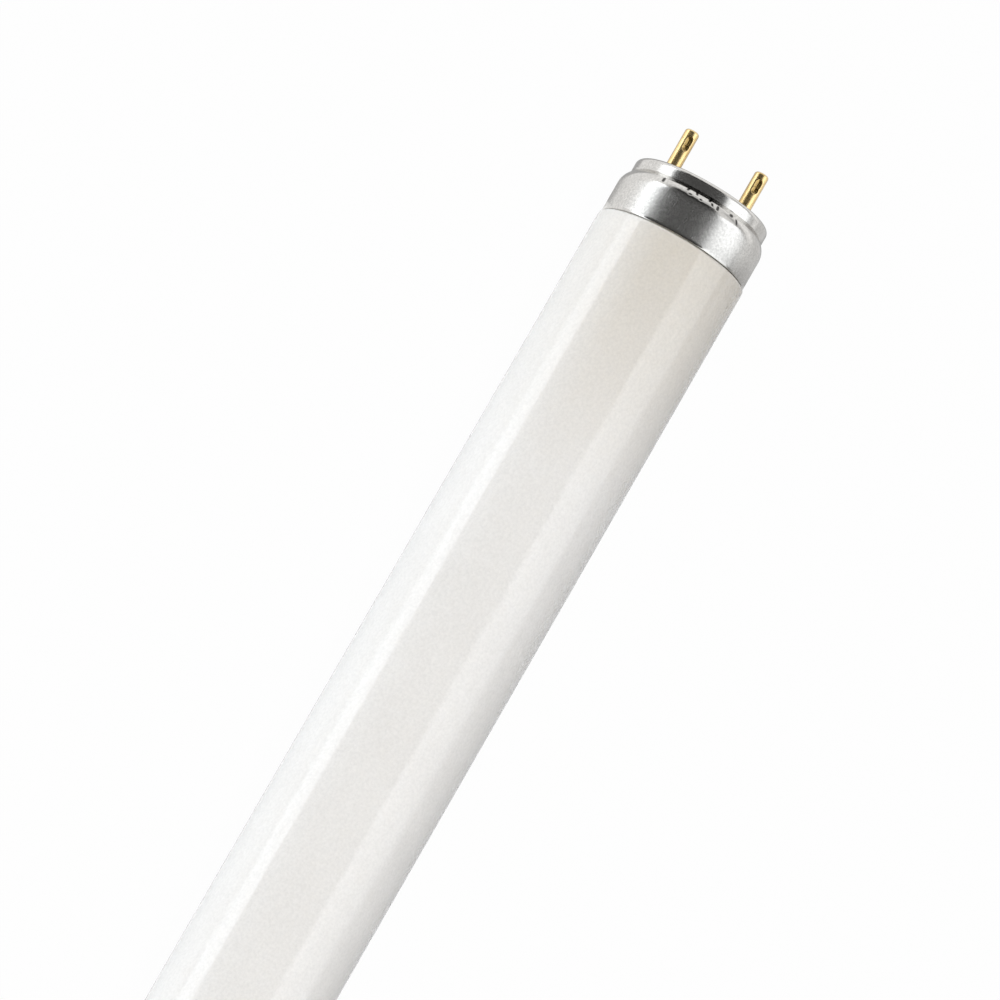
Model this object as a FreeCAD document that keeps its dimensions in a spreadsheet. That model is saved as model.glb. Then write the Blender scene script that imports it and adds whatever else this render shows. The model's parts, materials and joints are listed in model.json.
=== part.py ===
import FreeCAD, Part
import Sketcher

import os

# Straight fluorescent tube with a two-pin cap at each end, in millimetres.
# The tube lies along X with its middle at the origin, and all four pins lie in the XY plane.
# The pieces of an end are drawn once, with X = 0 at the cap's face and X pointing out of the tube,
# and are turned to the right (+X) and the left (-X) end.

SIZES = (
    ("face_length", 588.4, "cap face to cap face"),
    ("tube_diameter", 25.5, "outside of the glass tube"),
    ("cap_inset", 0.25, "the cap's skirt lies this far inside the glass, on the radius"),
    ("cap_length", 10.1, "cap face to the lip of the skirt"),
    ("cap_wall", 0.35, "sheet of the drawn cap shell"),
    ("lip_round", 0.3, "outer edge of the lip"),
    ("shoulder_length", 2.5, "rounded shoulder, along the axis"),
    ("boss_drop", 0.95, "skirt to boss, on the radius"),
    ("groove_depth", 0.25, "rolled groove behind the boss"),
    ("rim_round", 0.9, "outer edge of the cap's face"),
    ("rim_width", 1.55, "boss to the opening in the cap's face, on the radius"),
    ("plate_thickness", 1.6, "flange of the insulating plate"),
    ("pin_spacing", 12.7, "centre to centre of the two pins"),
    ("pin_diameter", 2.35, "outside of a contact pin"),
    ("pin_reach", 7.8, "pin tip in front of the cap's face"),
    ("shank_step", 0.175, "the pin is this much thinner inside the plate, on the radius"),
    ("pin_wall", 0.375, "wall of the hollow pin"),
    ("pin_tip_wall", 0.8, "closed end of the hollow pin"),
    ("pin_tip_round", 0.45, "edge of the pin's tip"),
    ("collar_diameter", 3.2, "pin collar on the front of the plate"),
    ("collar_thickness", 0.3, "pin collar, along the pin"),
    ("rivet_diameter", 4.0, "pin head behind the plate"),
    ("rivet_thickness", 0.5, "pin head, along the pin"),
    ("crimp_reach", 5.4, "middle of the crimp in front of the cap's face"),
    ("crimp_length", 1.2, "straight part of the round-ended punch that makes the crimp"),
    ("crimp_radius", 0.75, "crimping punch"),
    ("wire_diameter", 0.7, "lead wire"),
    ("wire_tail", 1.3, "lead wire beyond the middle of the crimp"),
    ("wire_straight", 0.5, "straight lead wire behind the pin"),
    ("spread_length", 7.0, "bend of the lead wire from the stem out to the pin, along the axis"),
    ("seal_depth", 4.0, "lead wire sealed into the glass of the stem"),
    ("cement_thickness", 0.3, "cement between skirt and glass"),
    ("cement_recess", 0.3, "lip of the skirt to the cement"),
    ("cement_margin", 0.5, "cement to the start of the shoulder"),
    ("end_gap", 1.75, "pin heads to the end of the glass"),
    ("glass_round", 0.45, "edge of the glass beside the lip"),
    ("glass_rim", 1.25, "rounded end of the glass"),
    ("flare_length", 7.0, "trumpet between the glass end and the stem's throat"),
    ("throat_diameter", 10.4, "straight part of the hollow stem"),
    ("stem_depth", 16.0, "glass end to the floor of the hollow stem"),
    ("exhaust_diameter", 4.0, "sealed exhaust tube"),
    ("exhaust_setback", 7.0, "glass end to the tip of the exhaust tube"),
    ("fit_clearance", 0.05, "plate in the shell, pins in the plate, lip to the glass"),
    ("crimp_clearance", 0.02, "crimp to the lead wire"),
)

# Radii
TUBE_RADIUS = "(Sizes.tube_diameter / 2)"
CAP_RADIUS = f"({TUBE_RADIUS} - Sizes.cap_inset)"
CAP_BORE_RADIUS = f"({CAP_RADIUS} - Sizes.cap_wall)"
NECK_RADIUS = f"({CAP_BORE_RADIUS} - Sizes.cement_thickness)"
MOUTH_RADIUS = f"({NECK_RADIUS} - 2 * Sizes.glass_rim)"
THROAT_RADIUS = "(Sizes.throat_diameter / 2)"
EXHAUST_RADIUS = "(Sizes.exhaust_diameter / 2)"
BOSS_RADIUS = f"({CAP_RADIUS} - Sizes.boss_drop)"
GROOVE_RADIUS = f"({BOSS_RADIUS} - Sizes.groove_depth)"
OPENING_RADIUS = f"({BOSS_RADIUS} - Sizes.rim_width)"
PIN_RADIUS = "(Sizes.pin_diameter / 2)"
SHANK_RADIUS = f"({PIN_RADIUS} - Sizes.shank_step)"
PIN_BORE_RADIUS = f"({PIN_RADIUS} - Sizes.pin_wall)"
WIRE_RADIUS = "(Sizes.wire_diameter / 2)"

# Places along the axis, from the cap's face
LIP = "(-Sizes.cap_length)"
PLATE_FRONT = "(-Sizes.cap_wall)"
PLATE_BACK = f"({PLATE_FRONT} - Sizes.plate_thickness)"
GROOVE = f"({PLATE_BACK} - Sizes.cap_wall - Sizes.fit_clearance)"
SKIRT_END = f"({GROOVE} - Sizes.shoulder_length)"
PIN_TAIL = f"({PLATE_BACK} - Sizes.rivet_thickness)"
GLASS_END = f"({PIN_TAIL} - Sizes.end_gap)"
STEM_FLOOR = f"({GLASS_END} - Sizes.stem_depth)"

# Offsets of the lead wires and the pins from the tube's axis
SEAL_OFFSET = f"(({EXHAUST_RADIUS} + {THROAT_RADIUS}) / 2)"
PIN_OFFSET = "(Sizes.pin_spacing / 2)"

RIGHT_AND_LEFT = (("right", 1), ("left", -1))
REAR_AND_FRONT = (("rear", 1), ("front", -1))
START, END, CENTRE = 1, 2, 3
ORIGIN_POINT = (-1, 1)

doc = FreeCAD.newDocument("fluorescent_tube")
sizes = doc.addObject("Spreadsheet::Sheet", "Sizes")
for row, (alias, size, meaning) in enumerate(SIZES, start=1):
    sizes.set(f"A{row}", meaning)
    sizes.set(f"B{row}", str(size))
    sizes.setAlias(f"B{row}", alias)
doc.recompute()


def value(formula):
    return float(sizes.evalExpression(formula))


def new_sketch(body, name, role, offset="0"):
    """A sketch on one of the body's origin planes, moved along the plane's normal by a formula."""
    sketch = body.newObject("Sketcher::SketchObject", name)
    plane = next(feature for feature in body.Origin.OriginFeatures if feature.Role == role)
    sketch.AttachmentSupport = [(plane, "")]
    sketch.MapMode = "FlatFace"
    sketch.setExpression("AttachmentOffset.Base.z", offset)
    return sketch


def bind(sketch, kind, geometry, point, formula):
    """Ties one coordinate of a point to a formula, measured from the sketch's origin."""
    constraint = Sketcher.Constraint(kind, *ORIGIN_POINT, geometry, point, value(formula))
    index = sketch.addConstraint(constraint)
    sketch.setExpression(f"Constraints[{index}]", formula)


def add_edge(sketch, first, last, centre):
    """A line, or the shorter arc about a centre. Returns its number and its two ends in drawing order."""
    a = FreeCAD.Vector(value(first[0]), value(first[1]))
    b = FreeCAD.Vector(value(last[0]), value(last[1]))
    if centre is None:
        return sketch.addGeometry(Part.LineSegment(a, b)), START, END
    middle = FreeCAD.Vector(value(centre[0]), value(centre[1]))
    counter_clockwise = (a - middle).cross(b - middle).z > 0
    begin, finish = (a, b) if counter_clockwise else (b, a)
    circle = Part.Circle(middle, FreeCAD.Vector(0, 0, 1), (a - middle).Length)
    arc = Part.ArcOfCircle(circle, circle.parameter(begin), circle.parameter(finish))
    edge = sketch.addGeometry(arc)
    if abs(b.y - a.y) > abs(b.x - a.x):
        bind(sketch, "DistanceX", edge, CENTRE, centre[0])
    else:
        bind(sketch, "DistanceY", edge, CENTRE, centre[1])
    return (edge, START, END) if counter_clockwise else (edge, END, START)


def draw(sketch, corners, closed=True):
    """Draws corners of the form (x, y) or, where an arc leads to the corner, (x, y, centre)."""
    edges = []
    for before, corner in zip(corners, corners[1:]):
        edges.append(add_edge(sketch, before, corner, corner[2] if len(corner) > 2 else None))
    if closed:
        edges.append(add_edge(sketch, corners[-1], corners[0], None))
    for (edge, _, tail), (after, head, _) in zip(edges, edges[1:] + edges[:1] * closed):
        sketch.addConstraint(Sketcher.Constraint("Coincident", edge, tail, after, head))
    for (edge, head, _), corner in zip(edges, corners):
        bind(sketch, "DistanceX", edge, head, corner[0])
        bind(sketch, "DistanceY", edge, head, corner[1])
    if not closed:
        edge, _, tail = edges[-1]
        bind(sketch, "DistanceX", edge, tail, corners[-1][0])
        bind(sketch, "DistanceY", edge, tail, corners[-1][1])


def draw_circle(sketch, x, y, radius):
    centre = FreeCAD.Vector(value(x), value(y))
    circle = sketch.addGeometry(Part.Circle(centre, FreeCAD.Vector(0, 0, 1), value(radius)))
    bind(sketch, "DistanceX", circle, CENTRE, x)
    bind(sketch, "DistanceY", circle, CENTRE, y)
    index = sketch.addConstraint(Sketcher.Constraint("Radius", circle, value(radius)))
    sketch.setExpression(f"Constraints[{index}]", radius)


def turned_body(name, corners):
    """A body turned about X from half its section."""
    body = doc.addObject("PartDesign::Body", name)
    section = new_sketch(body, "Section", "XY_Plane")
    draw(section, corners)
    turning = body.newObject("PartDesign::Revolution", "Turning")
    turning.Profile = section
    turning.ReferenceAxis = (section, ["H_Axis"])
    turning.Angle = 360
    return body


def place(piece, label, end, side, offset="0"):
    """Gives a piece its name and half turn: local +X to the given end and local +Y to the given side."""
    half_turns = {
        (1, 1): FreeCAD.Rotation(),
        (1, -1): FreeCAD.Rotation(FreeCAD.Vector(1, 0, 0), 180),
        (-1, 1): FreeCAD.Rotation(FreeCAD.Vector(0, 1, 0), 180),
        (-1, -1): FreeCAD.Rotation(FreeCAD.Vector(0, 0, 1), 180),
    }
    piece.Label = label
    piece.Placement = FreeCAD.Placement(FreeCAD.Vector(), half_turns[end, side])
    piece.setExpression("Placement.Base.x", f"{end} * Sizes.face_length / 2")
    piece.setExpression("Placement.Base.y", f"{side} * {offset}")
    return piece


def glass_tube():
    """The sealed glass: right half turned, with the hollow stem and its wire seals, then mirrored."""
    face = "(Sizes.face_length / 2)"
    edge = f"({face} + {LIP} - Sizes.fit_clearance)"
    edge_start = f"({edge} - Sizes.glass_round)"
    edge_middle = f"({TUBE_RADIUS} - Sizes.glass_round)"
    rim = f"({face} + {GLASS_END} - Sizes.glass_rim)"
    rim_middle = f"({NECK_RADIUS} - Sizes.glass_rim)"
    throat = f"({rim} - Sizes.flare_length)"
    flare_drop = f"({MOUTH_RADIUS} - {THROAT_RADIUS})"
    flare_radius = f"((Sizes.flare_length ^ 2 + {flare_drop} ^ 2) / (2 * {flare_drop}))"
    floor = f"({face} + {STEM_FLOOR})"
    exhaust_tip = f"({face} + {GLASS_END} - Sizes.exhaust_setback)"
    exhaust_end = f"({exhaust_tip} - {EXHAUST_RADIUS})"
    body = turned_body("Glass", (
        ("0", "0"),
        ("0", TUBE_RADIUS),
        (edge_start, TUBE_RADIUS),
        (edge, edge_middle, (edge_start, edge_middle)),
        (edge, NECK_RADIUS),
        (rim, NECK_RADIUS),
        (f"{face} + {GLASS_END}", rim_middle, (rim, rim_middle)),
        (rim, MOUTH_RADIUS, (rim, rim_middle)),
        (throat, THROAT_RADIUS, (throat, f"{THROAT_RADIUS} + {flare_radius}")),
        (floor, THROAT_RADIUS),
        (floor, EXHAUST_RADIUS),
        (exhaust_end, EXHAUST_RADIUS),
        (exhaust_tip, "0", (exhaust_end, "0")),
    ))
    turning = body.Tip
    seals = new_sketch(body, "Seals", "YZ_Plane", floor)
    for _, side in REAR_AND_FRONT:
        draw_circle(seals, f"{side} * {SEAL_OFFSET}", "0", WIRE_RADIUS)
    pocket = body.newObject("PartDesign::Pocket", "SealPocket")
    pocket.Profile = seals
    pocket.setExpression("Length", "Sizes.seal_depth")
    mirror = body.newObject("PartDesign::Mirrored", "LeftHalf")
    mirror.Originals = [turning, pocket]
    mirror.MirrorPlane = (next(f for f in body.Origin.OriginFeatures if f.Role == "YZ_Plane"), [""])
    body.Tip = mirror
    body.Label = "glass_tube"
    return body


def cap_shell(end_name, end):
    """One drawn cup of even wall: lip, skirt, rounded shoulder, rolled groove, boss and turned-in rim."""
    lip_centre = (f"{LIP} + Sizes.lip_round", f"{CAP_RADIUS} - Sizes.lip_round")
    drop = "(Sizes.boss_drop + Sizes.groove_depth)"
    radius = f"((Sizes.shoulder_length ^ 2 + {drop} ^ 2) / (2 * {drop}))"
    shoulder_centre = (SKIRT_END, f"{CAP_RADIUS} - {radius}")
    bead_start = f"{GROOVE} - Sizes.cap_wall * Sizes.shoulder_length / {radius}"
    bead_start_radius = f"{GROOVE_RADIUS} - Sizes.cap_wall * ({radius} - {drop}) / {radius}"
    bead_end = f"{GROOVE} + sqrt(2 * Sizes.cap_wall * Sizes.groove_depth - Sizes.groove_depth ^ 2)"
    rim_centre = ("-Sizes.rim_round", f"{BOSS_RADIUS} - Sizes.rim_round")
    shell = turned_body("CapShell", (
        (LIP, f"{CAP_RADIUS} - Sizes.lip_round"),
        (f"{LIP} + Sizes.lip_round", CAP_RADIUS, lip_centre),
        (SKIRT_END, CAP_RADIUS),
        (GROOVE, GROOVE_RADIUS, shoulder_centre),
        (f"{GROOVE} + Sizes.groove_depth", BOSS_RADIUS),
        ("-Sizes.rim_round", BOSS_RADIUS),
        ("0", f"{BOSS_RADIUS} - Sizes.rim_round", rim_centre),
        ("0", OPENING_RADIUS),
        (PLATE_FRONT, OPENING_RADIUS),
        (PLATE_FRONT, f"{BOSS_RADIUS} - Sizes.rim_round"),
        ("-Sizes.rim_round", f"{BOSS_RADIUS} - Sizes.cap_wall", rim_centre),
        (bead_end, f"{BOSS_RADIUS} - Sizes.cap_wall"),
        (bead_start, bead_start_radius, (GROOVE, GROOVE_RADIUS)),
        (SKIRT_END, CAP_BORE_RADIUS, shoulder_centre),
        (LIP, CAP_BORE_RADIUS),
    ))
    return place(shell, f"cap_shell_{end_name}", end, end)


def insulating_plate(end_name, end):
    """Moulded plate: a flange held between rim and groove, and a centre flush with the cap's face."""
    flange_radius = f"({BOSS_RADIUS} - Sizes.cap_wall - Sizes.fit_clearance)"
    corner_round = "(Sizes.rim_round - Sizes.cap_wall)"
    corner_radius = f"({flange_radius} - {corner_round})"
    corner = f"({PLATE_FRONT} - {corner_round})"
    centre_radius = f"({OPENING_RADIUS} - Sizes.fit_clearance)"
    plate = turned_body("Plate", (
        (PLATE_BACK, "0"),
        (PLATE_BACK, flange_radius),
        (corner, flange_radius),
        (PLATE_FRONT, corner_radius, (corner, corner_radius)),
        (PLATE_FRONT, centre_radius),
        ("0", centre_radius),
        ("0", "0"),
    ))
    holes = new_sketch(plate, "PinHoles", "YZ_Plane")
    for _, side in REAR_AND_FRONT:
        draw_circle(holes, f"{side} * {PIN_OFFSET}", "0", f"{SHANK_RADIUS} + Sizes.fit_clearance")
    pocket = plate.newObject("PartDesign::Pocket", "PinHolePocket")
    pocket.Profile = holes
    pocket.Type = "ThroughAll"
    pocket.Midplane = True
    return place(plate, f"insulating_plate_{end_name}", end, end)


def crimp_punches(name, radius, depth):
    """Two round-ended rods above and below the pin, about the axes of the crimping punches."""
    back = "(Sizes.crimp_reach - Sizes.crimp_length / 2)"
    front = "(Sizes.crimp_reach + Sizes.crimp_length / 2)"
    height = f"({PIN_RADIUS} - {depth} + Sizes.crimp_radius)"
    punches = []
    for direction in (1, -1):
        punch = turned_body(name, (
            (f"{back} - {radius}", "0"),
            (back, radius, (back, "0")),
            (front, radius),
            (f"{front} + {radius}", "0", (front, "0")),
        ))
        punch.setExpression("Placement.Base.z", f"{direction} * {height}")
        punches.append(punch)
    pair = doc.addObject("Part::MultiFuse", f"{name}Pair")
    pair.Shapes = punches
    return pair


def cut(name, base, tool):
    result = doc.addObject("Part::Cut", name)
    result.Base = base
    result.Tool = tool
    return result


def contact_pin(end_name, end, side_name, side):
    """Hollow brass pin with a closed tip, riveted through the plate and crimped on its lead wire."""
    collar_radius = "Sizes.collar_diameter / 2"
    rivet_radius = "Sizes.rivet_diameter / 2"
    tip = "(Sizes.pin_reach - Sizes.pin_tip_round)"
    tip_radius = f"({PIN_RADIUS} - Sizes.pin_tip_round)"
    blank = turned_body("PinBlank", (
        (PIN_TAIL, "0"),
        (PIN_TAIL, rivet_radius),
        (PLATE_BACK, rivet_radius),
        (PLATE_BACK, SHANK_RADIUS),
        ("0", SHANK_RADIUS),
        ("0", collar_radius),
        ("Sizes.collar_thickness", collar_radius),
        ("Sizes.collar_thickness", PIN_RADIUS),
        (tip, PIN_RADIUS),
        ("Sizes.pin_reach", tip_radius, (tip, tip_radius)),
        ("Sizes.pin_reach", "0"),
    ))
    bore = doc.addObject("Part::Cylinder", "PinBore")
    bore.Placement = FreeCAD.Placement(FreeCAD.Vector(), FreeCAD.Rotation(FreeCAD.Vector(0, 1, 0), 90))
    bore.setExpression("Radius", PIN_BORE_RADIUS)
    bore.setExpression("Height", f"Sizes.pin_reach - Sizes.pin_tip_wall - {PIN_TAIL}")
    bore.setExpression("Placement.Base.x", PIN_TAIL)
    depth = f"({PIN_BORE_RADIUS} - {WIRE_RADIUS} - Sizes.crimp_clearance)"
    bumps = crimp_punches("CrimpBump", "(Sizes.crimp_radius + Sizes.pin_wall)", depth)
    dents = crimp_punches("CrimpDent", "Sizes.crimp_radius", depth)
    hollow = cut("HollowPin", blank, cut("CrimpedBore", bore, bumps))
    pin = cut("CrimpedPin", hollow, dents)
    return place(pin, f"contact_pin_{end_name}_{side_name}", end, side, PIN_OFFSET)


def basing_cement(end_name, end):
    """Ring of cement that holds the skirt on the neck of the glass."""
    outer_end = f"{LIP} + Sizes.cement_recess"
    inner_end = f"{SKIRT_END} - Sizes.cement_margin"
    ring = turned_body("Cement", (
        (outer_end, NECK_RADIUS),
        (outer_end, CAP_BORE_RADIUS),
        (inner_end, CAP_BORE_RADIUS),
        (inner_end, NECK_RADIUS),
    ))
    return place(ring, f"basing_cement_{end_name}", end, end)


def lead_wire(end_name, end, side_name, side):
    """Wire from its seal in the stem, out along two tangent arcs, into the pin and through the crimp."""
    start = f"({STEM_FLOOR} - Sizes.seal_depth)"
    spread_end = f"({PIN_TAIL} - Sizes.wire_straight)"
    spread_start = f"({spread_end} - Sizes.spread_length)"
    spread = f"({PIN_OFFSET} - {SEAL_OFFSET})"
    bend = f"((Sizes.spread_length ^ 2 + {spread} ^ 2) / (4 * {spread}))"
    middle = (f"({spread_start} + {spread_end}) / 2", f"({PIN_OFFSET} + {SEAL_OFFSET}) / 2")
    wire = doc.addObject("PartDesign::Body", "LeadWire")
    path = new_sketch(wire, "Path", "XY_Plane")
    draw(path, (
        (start, SEAL_OFFSET),
        (spread_start, SEAL_OFFSET),
        (*middle, (spread_start, f"{SEAL_OFFSET} + {bend}")),
        (spread_end, PIN_OFFSET, (spread_end, f"{PIN_OFFSET} - {bend}")),
        ("Sizes.crimp_reach + Sizes.wire_tail", PIN_OFFSET),
    ), closed=False)
    section = new_sketch(wire, "Section", "YZ_Plane", start)
    draw_circle(section, SEAL_OFFSET, "0", WIRE_RADIUS)
    pipe = wire.newObject("PartDesign::AdditivePipe", "Sweep")
    pipe.Profile = section
    pipe.Spine = (path, [])
    return place(wire, f"lead_wire_{end_name}_{side_name}", end, side)


pieces = [glass_tube()]
for end_name, end in RIGHT_AND_LEFT:
    pieces.append(cap_shell(end_name, end))
    pieces.append(insulating_plate(end_name, end))
    pieces.append(basing_cement(end_name, end))
    for side_name, side in REAR_AND_FRONT:
        pieces.append(contact_pin(end_name, end, side_name, side))
        pieces.append(lead_wire(end_name, end, side_name, side))
doc.recompute()

failed = [item.Name for item in doc.Objects if "Invalid" in item.State or "Error" in item.State]
failed += [piece.Label for piece in pieces if piece.Shape.isNull() or not piece.Shape.isValid()]
failed += [piece.Label for piece in pieces if len(piece.Shape.Solids) != 1]
if failed:
    raise RuntimeError(f"these objects failed: {failed}")

os.makedirs("parts", exist_ok=True)
for piece in pieces:
    piece.Shape.exportStep(f"parts/{piece.Label}.step")
    print(f"{piece.Label}: {piece.Shape.Volume:.3f} cubic millimetres")
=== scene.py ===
"""Looks of a straight fluorescent tube with two-pin caps, built around its packed solids."""
import json
import math

import bmesh
import bpy
from mathutils import Matrix, Vector


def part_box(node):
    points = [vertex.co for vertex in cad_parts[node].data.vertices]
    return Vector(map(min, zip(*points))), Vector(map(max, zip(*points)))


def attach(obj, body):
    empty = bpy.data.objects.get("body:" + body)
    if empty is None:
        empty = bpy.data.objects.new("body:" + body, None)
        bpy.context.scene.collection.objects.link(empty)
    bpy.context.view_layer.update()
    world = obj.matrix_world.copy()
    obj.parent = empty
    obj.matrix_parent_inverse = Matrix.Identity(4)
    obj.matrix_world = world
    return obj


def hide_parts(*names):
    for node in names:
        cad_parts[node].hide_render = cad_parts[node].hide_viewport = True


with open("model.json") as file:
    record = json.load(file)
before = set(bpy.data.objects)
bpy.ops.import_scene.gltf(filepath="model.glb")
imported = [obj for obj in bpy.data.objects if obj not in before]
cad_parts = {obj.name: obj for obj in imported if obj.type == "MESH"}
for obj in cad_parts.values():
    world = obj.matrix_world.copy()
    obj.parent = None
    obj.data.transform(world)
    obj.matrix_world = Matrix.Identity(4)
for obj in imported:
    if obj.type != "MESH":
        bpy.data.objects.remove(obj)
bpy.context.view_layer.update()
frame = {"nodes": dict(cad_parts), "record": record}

bl_info = {
    "name": "Fluorescent tube",
    "version": (1, 0, 0),
    "blender": (4, 5, 0),
    "location": "View3D > Sidebar > Tube",
    "description": "Builds the glass, caps and pins of a straight fluorescent tube, and its stage",
    "category": "Object",
}

MM_PER_METRE = 1000

# Sizes that come from the packed solids, in metres
GLASS_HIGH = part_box("glass_tube")[1]
CAP_LOW, CAP_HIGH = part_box("cap_shell_right")
PLATE_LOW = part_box("insulating_plate_right")[0]
PIN_LOW, PIN_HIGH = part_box("contact_pin_right_rear")
MOUNTS = {mount["name"]: mount for mount in frame["record"]["mounts"]}
TUBE_RADIUS = GLASS_HIGH[1]
GLASS_END = GLASS_HIGH[0]
CAP_RADIUS = CAP_HIGH[1]
FACE = CAP_HIGH[0]
LIP = CAP_LOW[0]
PLATE_BACK = PLATE_LOW[0] - FACE
PIN_RADIUS = MOUNTS["pin_right_rear"]["dims"]["r_mm"] / MM_PER_METRE
PIN_OFFSET = MOUNTS["pin_right_rear"]["pos_m"][1]
PIN_REACH = PIN_HIGH[0] - FACE
PIN_TAIL = PIN_LOW[0] - FACE

# The ends with their turns about the upright axis, and the sides with their directions across
ENDS = (("right", 0.0), ("left", math.pi))
SIDES = (("rear", 1), ("front", -1))
ALONG = Vector((1, 0, 0))
QUARTER = math.pi / 2

WHITE = (1.0, 1.0, 1.0, 1.0)
BLACK = (0.0, 0.0, 0.0, 1.0)
# Values between which most of a noise texture lies
NOISE_RANGE = (0.3, 0.7)
# Share of a dent's depth at which its painted shade is full
FULL_DENT_SHADE = 1 / 3
# Sockets of the Mix node when it mixes colours
MIX_FACTOR, MIX_FIRST, MIX_SECOND, MIX_RESULT = 0, 6, 7, 2
# Edges that turn by more than this stay sharp
SHARP_TURN = math.radians(32)
# A ring with a smaller radius is one point on the axis
LEAST_RADIUS = 1e-9


def number(name, description, default, **more):
    """A number that a user may change."""
    return bpy.props.FloatProperty(name=name, description=description, default=default, **more)


def length(name, description, default):
    """A length that a user may change."""
    return number(name, description, default, precision=5, subtype="DISTANCE", unit="LENGTH")


def angle(name, description, degrees):
    """An angle that a user may change."""
    return number(name, description, math.radians(degrees), subtype="ANGLE", unit="ROTATION")


def share(name, description, default):
    """A value from 0 to 1 that a user may change."""
    return number(name, description, default, min=0, max=1, subtype="FACTOR")


def colour(name, description, default):
    """A colour that a user may change."""
    return bpy.props.FloatVectorProperty(
        name=name, description=description, default=default, size=3, min=0, max=1, subtype="COLOR"
    )


class GlassSettings(bpy.types.PropertyGroup):
    """Sizes and finish of the glass tube."""

    neck_step: length("Neck step", "How much thinner the glass is under the cap", 0.0009)
    edge_gap: length("Edge gap", "From the glass to the cap's lip", 0.00005)
    edge_round: length("Edge rounding", "Radius of the glass edge beside the cap's lip", 0.00045)
    rim: length("Rim", "Radius of the rounded glass end", 0.00125)
    flare: length("Flare", "Length of the flare from the rim to the stem's throat", 0.007)
    throat: length("Throat", "Radius of the stem's throat", 0.0052)
    stem_depth: length("Stem depth", "Depth of the hollow stem from the glass end", 0.016)
    exhaust: length("Exhaust tip", "Radius of the exhaust tip in the stem", 0.002)
    exhaust_setback: length("Exhaust setback", "Distance of the exhaust tip from the glass end", 0.007)
    powder: colour("Powder", "Powder coat seen through the glass", (0.875, 0.85, 0.82))
    # Colour towards which the glass turns grey beside the caps
    end_grey: colour("End powder", "Greyer powder coat beside the caps", (0.745, 0.70, 0.63))
    fade: length("Fade", "Length over which the ends turn grey", 0.042)
    # Painted light: the grey ends are drawn lighter on the rear side, where the lamps light the glass more
    rear_lit_share: share("Rear stain", "How grey the ends are on the rear side, beside the rest", 0.35)
    rear_start: share("Rear start", "Where the ends start to be less grey, as a share of the radius", 0.3)
    rear_stop: share("Rear stop", "Where the rear side's grey is reached, as a share of the radius", 0.75)
    gloss: share("Roughness", "Roughness of the glass surface", 0.05)
    refraction: number("Refraction", "Refractive index of the glass", 1.52)
    milkiness: length("Milkiness", "How far light spreads under the surface", 0.001)


class CapSettings(bpy.types.PropertyGroup):
    """Sizes and finish of the drawn metal caps."""

    wall: length("Wall", "Thickness of the sheet", 0.00035)
    lip_round: length("Lip rounding", "Radius of the outer edge of the lip", 0.0003)
    shoulder: length("Shoulder", "Length of the rounded shoulder", 0.0025)
    boss_drop: length("Boss drop", "How much smaller the boss radius is than the skirt's", 0.00095)
    groove: length("Groove", "Depth of the rolled groove", 0.00025)
    rim_round: length("Rim rounding", "Radius of the rounded rim", 0.0009)
    rim_width: length("Rim width", "From the boss wall to the opening", 0.00155)
    clearance: length("Clearance", "Play behind the insulating plate", 0.00005)
    mark_depth: length("Mark depth", "Depth of the marks that the roller left on the shoulder", 0.0001)
    metal: colour("Metal", "Bare drawn sheet", (0.63, 0.615, 0.59))
    # Painted shade: the roller's marks are drawn near black, as shade in the dents; the cover says how far
    # it hides the metal
    mark_shade: colour("Grime", "Dirt in the marks of the roller", (0.05, 0.048, 0.045))
    mark_shade_cover: share("Grime cover", "How far the dirt hides the metal", 0.95)
    # Painted shade: the front side beside the lip is drawn darker, as the shaded side of the cap; the next
    # three settings place it
    front_shading: share("Dulling", "How much darker the front side is beside the lip", 0.32)
    front_shade_length: length("Dull length", "Length of the dull stretch beside the lip", 0.0035)
    front_shade_start: share("Dull start", "Where the dull front side starts, as a share of the radius", 0.1)
    front_shade_stop: share("Dull stop", "Where the dulling is full, as a share of the radius", 0.6)
    roughness: share("Roughness", "Mean roughness of the drawn sheet", 0.25)
    burnish: share("Burnish", "Roughness where the roller polished the sheet", 0.15)
    burnish_start: share("Burnish start", "Share of the shoulder over which the burnish sets in", 1 / 3)
    lip_polish: share("Lip polish", "Roughness of the lip, which the press polished", 0.075)
    anisotropy: share("Anisotropy", "How far the drawn lines spread a reflection round the cap", 0.8)


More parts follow.
